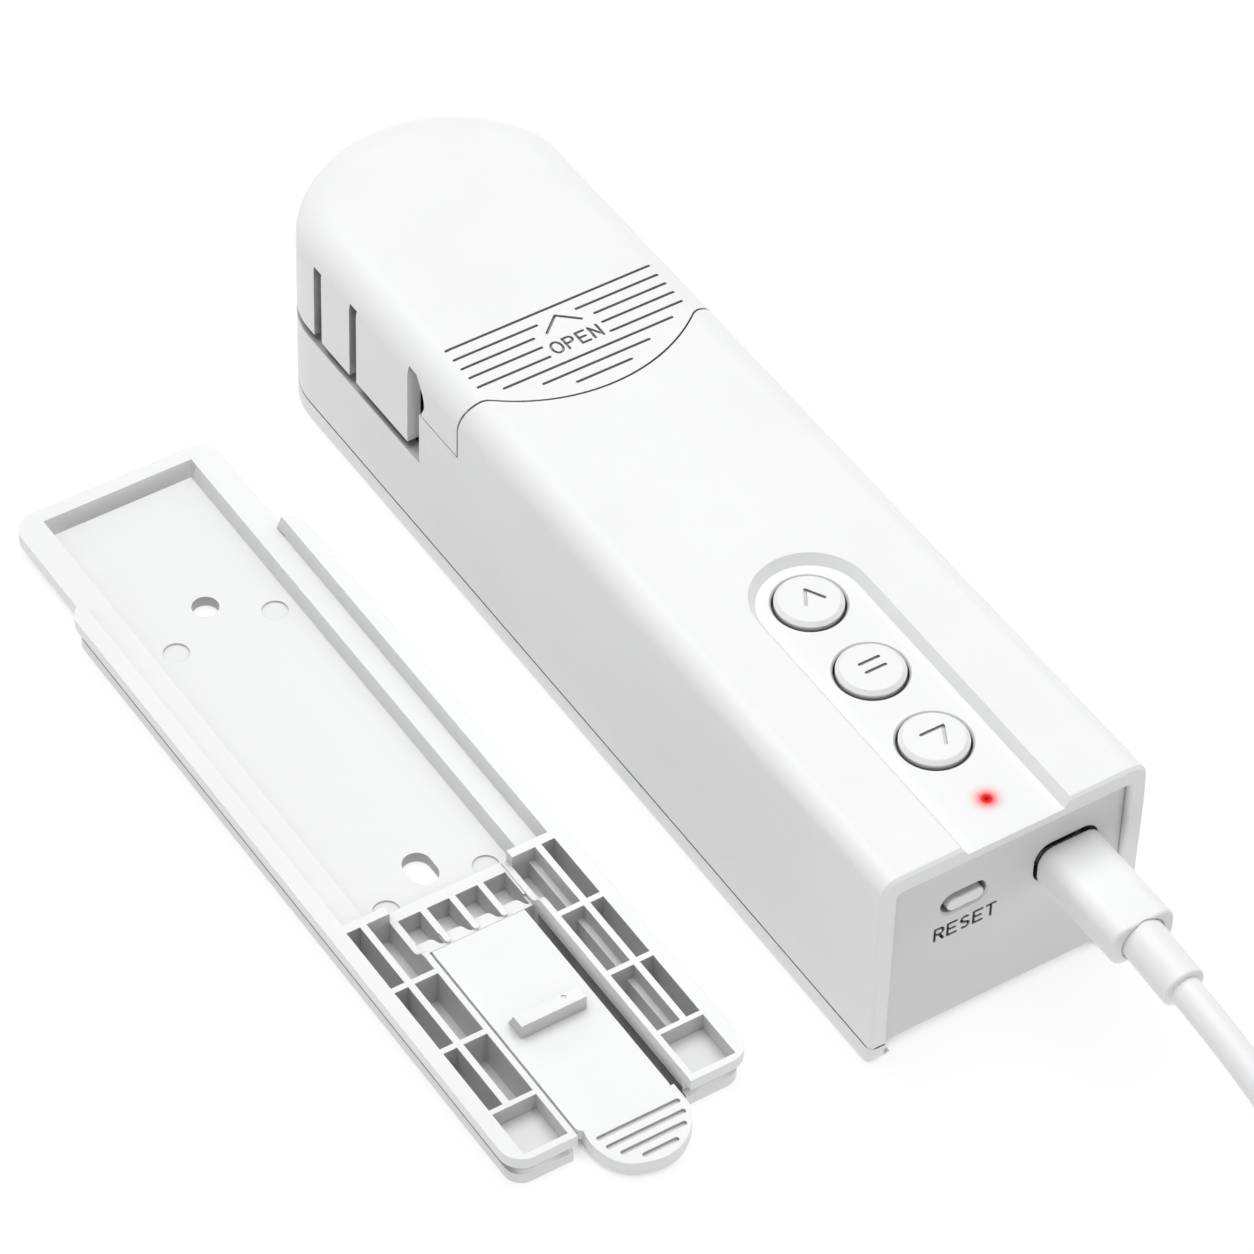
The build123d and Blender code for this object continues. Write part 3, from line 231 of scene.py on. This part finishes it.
MATS = {
    "white_shell": plastic("white_shell", (0.885, 0.888, 0.892), 0.40),
    "white_cover": plastic("white_cover", (0.890, 0.893, 0.897), 0.38),
    # the end panel's base colour is darker than the other whites: painted shade of the end face turned away from the
    # light
    "white_panel": plastic("white_panel", (0.745, 0.746, 0.750), 0.46, 3600.0, 0.14),
    "white_button": plastic("white_button", (0.895, 0.898, 0.902), 0.33, 5000.0, 0.06),
    "white_bracket": plastic("white_bracket", (0.880, 0.884, 0.888), 0.40),
    "dark_inner": plastic("dark_inner", (0.045, 0.046, 0.049), 0.50, 3600.0, 0.16, 0.80),
    "gear_nylon": plastic("gear_nylon", (0.78, 0.73, 0.61), 0.38, 3000.0, 0.08, 0.93),
    "chain_wheel_black": plastic("chain_wheel_black", (0.040, 0.041, 0.045), 0.42, 3600.0, 0.12, 0.80),
    "zinc_steel": metal("zinc_steel", (0.62, 0.62, 0.60), 0.30),
    "motor_steel": metal("motor_steel", (0.56, 0.57, 0.58), 0.34, (1.0, 1.0, 0.08)),
    "bronze": metal("bronze", (0.62, 0.42, 0.22), 0.42, None, 2500.0, 0.35),
    "pinion_brass": metal("pinion_brass", (0.76, 0.58, 0.26), 0.28),
    "board_green": plastic("board_green", (0.020, 0.130, 0.060), 0.30, 1500.0, 0.08, 0.80),
    "switch_black": plastic("switch_black", (0.030, 0.030, 0.033), 0.45, 3600.0, 0.12, 0.80),
    "battery_wrap": plastic("battery_wrap", (0.045, 0.130, 0.370), 0.25, 700.0, 0.10, 0.85),
    "socket_steel": metal("socket_steel", (0.70, 0.70, 0.71), 0.24, (1.0, 0.1, 1.0)),
    "contact_black": plastic("contact_black", (0.026, 0.026, 0.029), 0.42, 3600.0, 0.12, 0.80),
    "wire_insulation": plastic("wire_insulation", (0.420, 0.022, 0.018), 0.36, 2200.0, 0.08, 0.85),
    "cable_white": plastic("cable_white", (0.895, 0.898, 0.902), 0.44, 3000.0, 0.10, 0.975),
}


LED_XY = (0.0, -0.0751)


def radius_from_led(nt, tc, node):
    x, y, z = xyz(nt, tc, node)
    dx = math_node(nt, "SUBTRACT", x, LED_XY[0])
    dy = math_node(nt, "SUBTRACT", y, LED_XY[1])
    r = math_node(nt, "SQRT", math_node(nt, "ADD", math_node(nt, "MULTIPLY", dx, dx), math_node(nt, "MULTIPLY", dy, dy)))
    return r, z


def indicator():
    m, nt, b, tc = new_mat("indicator_red")
    n = noise(nt, tc, 900.0, 2.0)
    nt.links.new(mix(nt, ramp(nt, n.outputs["Fac"], 0.0, 1.0), (0.33, 0.002, 0.002), (0.27, 0.002, 0.001)), b.inputs["Base Color"])
    nt.links.new(ramp(nt, n.outputs["Fac"], 0.20, 0.30), b.inputs["Roughness"])
    b.inputs["Emission Color"].default_value = (1.0, 0.012, 0.008, 1.0)
    b.inputs["Specular IOR Level"].default_value = 0.15
    r, z = radius_from_led(nt, tc, "led_light_pipe")
    lit = ramp(nt, r, 0.0, 0.75, 0.00026, 0.00048)
    nt.links.new(math_node(nt, "MULTIPLY", lit, math_node(nt, "GREATER_THAN", z, 0.0335)), b.inputs["Emission Strength"])
    return m


def halo(mat):
    """Red light of the indicator in the white shell round it."""
    nt = mat.node_tree
    b = [n for n in nt.nodes if n.type == "BSDF_PRINCIPLED"][0]
    tc = [n for n in nt.nodes if n.type == "TEX_COORD"][0]
    r, z = radius_from_led(nt, tc, "main_housing")
    near = ramp(nt, r, 1.0, 0.0, 0.00072, 0.0030)
    glow = math_node(nt, "MULTIPLY", near, near)
    glow = math_node(nt, "MULTIPLY", glow, math_node(nt, "GREATER_THAN", z, 0.0335))
    recolour(nt, b, glow, (0.80, 0.020, 0.015))
    b.inputs["Emission Color"].default_value = (1.0, 0.02, 0.015, 1.0)
    nt.links.new(math_node(nt, "MULTIPLY", glow, 0.25), b.inputs["Emission Strength"])


MATS["indicator_red"] = indicator()


def bracket_painted_shade(mat):
    """Painted shade on the bracket: the tray's floor is painted a little greyer than the rims, and the bores through it
    are painted darker.
    """
    nt = mat.node_tree
    b = [n for n in nt.nodes if n.type == "BSDF_PRINCIPLED"][0]
    tc = [n for n in nt.nodes if n.type == "TEX_COORD"][0]
    x, y, z = xyz(nt, tc, "bracket_plate")
    recolour(nt, b, between(nt, z, -0.001, 0.0019), (0.845, 0.849, 0.855))
    low = between(nt, z, 0.00002, 0.00172)
    bore = math_node(nt, "MULTIPLY", between(nt, x, -0.0549 - 0.0022, -0.0549 + 0.0022),
                     math_node(nt, "MAXIMUM", between(nt, y, 0.0352, 0.0398), between(nt, y, -0.0245, -0.0181)))
    recolour(nt, b, math_node(nt, "MULTIPLY", low, bore), (0.26, 0.26, 0.265))
    off = math_node(nt, "ABSOLUTE", math_node(nt, "ADD", x, 0.0549))
    # painted shade at the foot of the tray's end wall, darkest low down
    foot = math_node(nt, "MULTIPLY", ramp(nt, z, 1.0, 0.35, 0.0018, 0.0039), between(nt, z, 0.00182, 0.00388))
    end = math_node(nt, "MULTIPLY", between(nt, y, 0.0611, 0.0628), math_node(nt, "LESS_THAN", off, 0.0124))
    recolour(nt, b, math_node(nt, "MULTIPLY", foot, end), (0.36, 0.36, 0.365))
    # painted shadow on the walls of the two narrow gaps beside the tongue
    gap = math_node(nt, "MULTIPLY", between(nt, off, 0.0073, 0.0090), between(nt, y, -0.0745, -0.0375))
    recolour(nt, b, math_node(nt, "MULTIPLY", gap, between(nt, z, 0.0004, 0.0028)), (0.10, 0.10, 0.105))


bracket_painted_shade(MATS["white_bracket"])
# painted ambient-occlusion shade on the bracket: soft in the cells and tray corners, darker in narrow gaps
painted_occlusion_shade(MATS["white_bracket"], 0.0065, 0.42, 1.0, (0.62, 0.62, 0.625), 1.0)
painted_occlusion_shade(MATS["white_bracket"], 0.0016, 0.05, 0.50, (0.42, 0.42, 0.425), 0.5)


def outer_housing(nt, x, y, z):
    top = math_node(nt, "GREATER_THAN", z, 0.0335)
    front = math_node(nt, "LESS_THAN", y, 0.0100)
    side = math_node(nt, "GREATER_THAN", math_node(nt, "ABSOLUTE", x), 0.0203)
    return math_node(nt, "MAXIMUM", math_node(nt, "MAXIMUM", top, front), side)


def outer_cover(nt, x, y, z):
    top = math_node(nt, "GREATER_THAN", z, 0.0349)
    side = math_node(nt, "GREATER_THAN", math_node(nt, "ABSOLUTE", x), 0.0203)
    return math_node(nt, "MAXIMUM", top, side)


# painted shade in the narrow seams and gaps of the shell and the cover, on their outer faces only
painted_occlusion_shade(MATS["white_shell"], 0.0011, 0.10, 0.80, (0.10, 0.10, 0.105), 0.95, False, "main_housing", outer_housing)
painted_occlusion_shade(MATS["white_cover"], 0.0011, 0.10, 0.80, (0.10, 0.10, 0.105), 0.95, False, "sliding_cover", outer_cover)
# painted shade on the walls of the slots in the sides of the cover and the shell
painted_occlusion_shade(MATS["white_cover"], 0.0030, 0.45, 0.95, (0.13, 0.13, 0.135), 0.92, False, "sliding_cover",
       lambda nt, x, y, z: math_node(nt, "MULTIPLY", math_node(nt, "GREATER_THAN", math_node(nt, "ABSOLUTE", x), 0.0180),
                                     math_node(nt, "MULTIPLY", between(nt, z, 0.010, 0.0345), math_node(nt, "GREATER_THAN", y, 0.030))))
painted_occlusion_shade(MATS["white_shell"], 0.0030, 0.20, 0.92, (0.20, 0.20, 0.205), 0.85, False, "main_housing",
       lambda nt, x, y, z: math_node(nt, "MULTIPLY", math_node(nt, "GREATER_THAN", math_node(nt, "ABSOLUTE", x), 0.0190),
                                     math_node(nt, "MULTIPLY", between(nt, z, 0.012, 0.0215), math_node(nt, "GREATER_THAN", y, 0.0300))))
# painted shade on the end panel round the port and the plug
painted_occlusion_shade(MATS["white_panel"], 0.0035, 0.0, 0.75, (0.22, 0.22, 0.225), 0.7, False)
halo(MATS["white_shell"])
# painted shade in the engraved lines and lettering of the cover
painted_groove_shade(MATS["white_cover"], "sliding_cover", (-0.0175, 0.0175), (0.0180, 0.0346), (0.03540, 0.03626), (0.36, 0.36, 0.365))
# painted shade in the engraved RESET lettering of the end panel
painted_groove_shade(MATS["white_panel"], "end_panel", (-0.0128, 0.0), (-0.0806, -0.0800), (0.0180, 0.0212), (0.15, 0.15, 0.154))
# boxes round the key symbols' strokes that get painted shade: on the up and down keys only the stroke the light leaves
# in shade, on the pause key both bars
SHADED_STROKES = {
    "up": ((0.00040, 0.0032), (-0.0032, 0.0032)),
    "pause": ((-0.0032, 0.0032), (-0.0032, 0.0032)),
    "down": ((-0.0032, 0.0024), (0.00085, 0.0032)),
}
# each key: painted shade round its edge in the hole, and painted shade in the boxed strokes of its symbol
for key, ((xa, xb), (ya, yb)) in SHADED_STROKES.items():
    MATS["key_" + key] = plastic("key_" + key, (0.895, 0.898, 0.902), 0.33, 5000.0, 0.06)
    yk = {"up": -0.03285, "pause": -0.04785, "down": -0.06285}[key]
    painted_occlusion_shade(MATS["key_" + key], 0.0010, 0.10, 0.80, (0.10, 0.10, 0.105), 0.8, False)
    painted_groove_shade(MATS["key_" + key], "button_" + key, (xa, xb), (yk + ya, yk + yb), (0.03530, 0.03568), (0.33, 0.33, 0.335))

for name, ob in NODES.items():
    ob.data.materials.clear()
    ob.data.materials.append(MATS[name.replace("button_", "key_")] if name in ("button_up", "button_pause", "button_down") else MATS[SLOT_OF[name]])


# ------------------------------------------------------------------ the free charging lead
CX, CY = 0.0445, -0.163


def turn_points():
    """Turns of the put-away coil: three on the floor, from the outside in, then two on top, from the inside out."""
    n = 20
    pts = []
    k = 1.0 / math.cos(math.pi / n) ** 0.5
    a, end = 208.0, 1800.0
    while a <= end + 1e-6:
        t = (a - 208.0) / 360.0
        u, f = int(t), t - int(t)
        j = max(0.0, min(1.0, (f - 0.80) / 0.20))
        j = j * j * (3 - 2 * j)
        radii = [0.0316, 0.0270, 0.0224, 0.0247, 0.0293, 0.0293]
        highs = [0.0023, 0.0023, 0.0023, 0.0063, 0.0063, 0.0063]
        r = radii[u] + (radii[u + 1] - radii[u]) * j
        z = highs[u] + (highs[u + 1] - highs[u]) * j
        if u >= 3:
            z += 0.0007 * math.sin(math.pi * max(0.0, min(1.0, (f - 0.70) / 0.30)))
        pts.append((CX + k * r * math.cos(math.radians(a)), CY + k * r * math.sin(math.radians(a)), z))
        a += 360.0 / n
    return pts


LEAD = [
    (0.0101, -0.107464, 0.022231), (0.0101, -0.123403, 0.020836), (0.0101, -0.1389, 0.0148),
    (0.0100, -0.1536, 0.0065), (0.0106, -0.1665, 0.0023),
]
TAIL = [(0.0713, -0.1405, 0.0066), (0.0677, -0.1295, 0.0039), (0.0633, -0.1185, 0.0039)]
pts = LEAD + turn_points() + TAIL
cu = bpy.data.curves.new("charging_cable", "CURVE")
cu.dimensions = "3D"
cu.bevel_depth = 0.0023
cu.bevel_resolution = 6
cu.use_fill_caps = True
cu.resolution_u = 8
sp = cu.splines.new("NURBS")
sp.points.add(len(pts) - 1)
for p, co in zip(sp.points, pts):
    p.co = (*co, 1.0)
sp.order_u = 3
sp.use_endpoint_u = True
cable = bpy.data.objects.new("charging_cable", cu)
scene.collection.objects.link(cable)
cable.data.materials.append(MATS["cable_white"])
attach(cable, "charging_lead")
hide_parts("cable_lead", "cable_coil", "cable_tail")


# ------------------------------------------------------------------ floor and light
def floor():
    me = bpy.data.meshes.new("floor")
    bm = bmesh.new()
    s = 6.0
    vs = [bm.verts.new((x, y, -0.00005)) for x, y in ((-s, -s), (s, -s), (s, s), (-s, s))]
    bm.faces.new(vs)
    bm.to_mesh(me)
    bm.free()
    ob = bpy.data.objects.new("floor", me)
    scene.collection.objects.link(ob)
    m, nt, b, tc = new_mat("floor_white")
    n = noise(nt, tc, 3.0, 2.0)
    nt.links.new(mix(nt, ramp(nt, n.outputs["Fac"], 0.0, 1.0), (0.20, 0.20, 0.20), (0.19, 0.19, 0.19)), b.inputs["Base Color"])
    b.inputs["Emission Color"].default_value = (1.0, 1.0, 1.0, 1.0)
    # the floor's glow fades with ambient occlusion: painted contact shade on the floor under and between the parts
    ao = nt.nodes.new("ShaderNodeAmbientOcclusion")
    ao.samples = 8
    ao.inputs["Distance"].default_value = 0.008
    nt.links.new(ramp(nt, ao.outputs["AO"], 0.04, 0.84, 0.05, 0.30), b.inputs["Emission Strength"])
    b.inputs["Roughness"].default_value = 0.9
    b.inputs["Specular IOR Level"].default_value = 0.1
    me.materials.append(m)


def backdrop():
    """A low pale wall far behind the floor, all round, so that level views see no horizon."""
    me = bpy.data.meshes.new("backdrop")
    bm = bmesh.new()
    n, r, h = 64, 5.0, 0.70
    low = [bm.verts.new((r * math.cos(2 * math.pi * i / n), r * math.sin(2 * math.pi * i / n), -0.00005)) for i in range(n)]
    high = [bm.verts.new((v.co.x, v.co.y, h)) for v in low]
    for i in range(n):
        j = (i + 1) % n
        bm.faces.new((low[j], low[i], high[i], high[j]))
    bm.to_mesh(me)
    bm.free()
    ob = bpy.data.objects.new("backdrop", me)
    scene.collection.objects.link(ob)
    m, nt, b, tc = new_mat("backdrop_white")
    n = noise(nt, tc, 1.5, 2.0)
    nt.links.new(mix(nt, ramp(nt, n.outputs["Fac"], 0.0, 1.0), (0.20, 0.20, 0.20), (0.19, 0.19, 0.19)), b.inputs["Base Color"])
    b.inputs["Emission Color"].default_value = (1.0, 1.0, 1.0, 1.0)
    b.inputs["Emission Strength"].default_value = 0.72
    b.inputs["Roughness"].default_value = 0.9
    b.inputs["Specular IOR Level"].default_value = 0.1
    me.materials.append(m)


floor()
backdrop()
world = bpy.data.worlds.new("studio")
scene.world = world
world.use_nodes = True
bg = world.node_tree.nodes["Background"]
bg.inputs["Color"].default_value = (1.0, 1.0, 1.0, 1.0)
bg.inputs["Strength"].default_value = 0.27


def area(name, loc, target, size, power, color=(1, 1, 1)):
    li = bpy.data.lights.new(name, "AREA")
    li.shape = "RECTANGLE"
    li.size, li.size_y = size
    li.energy = power
    li.color = color
    ob = bpy.data.objects.new(name, li)
    scene.collection.objects.link(ob)
    d = Vector(target) - Vector(loc)
    ob.matrix_world = Matrix.Translation(Vector(loc)) @ d.to_track_quat("-Z", "Y").to_matrix().to_4x4()
    return ob


area("key", (0.04, 0.18, 1.40), (0.0, 0.0, 0.0), (1.4, 1.4), 20.2)

scene.view_settings.view_transform = "Standard"
scene.view_settings.look = "None"
scene.view_settings.exposure = 0.0
scene.view_settings.gamma = 1.0
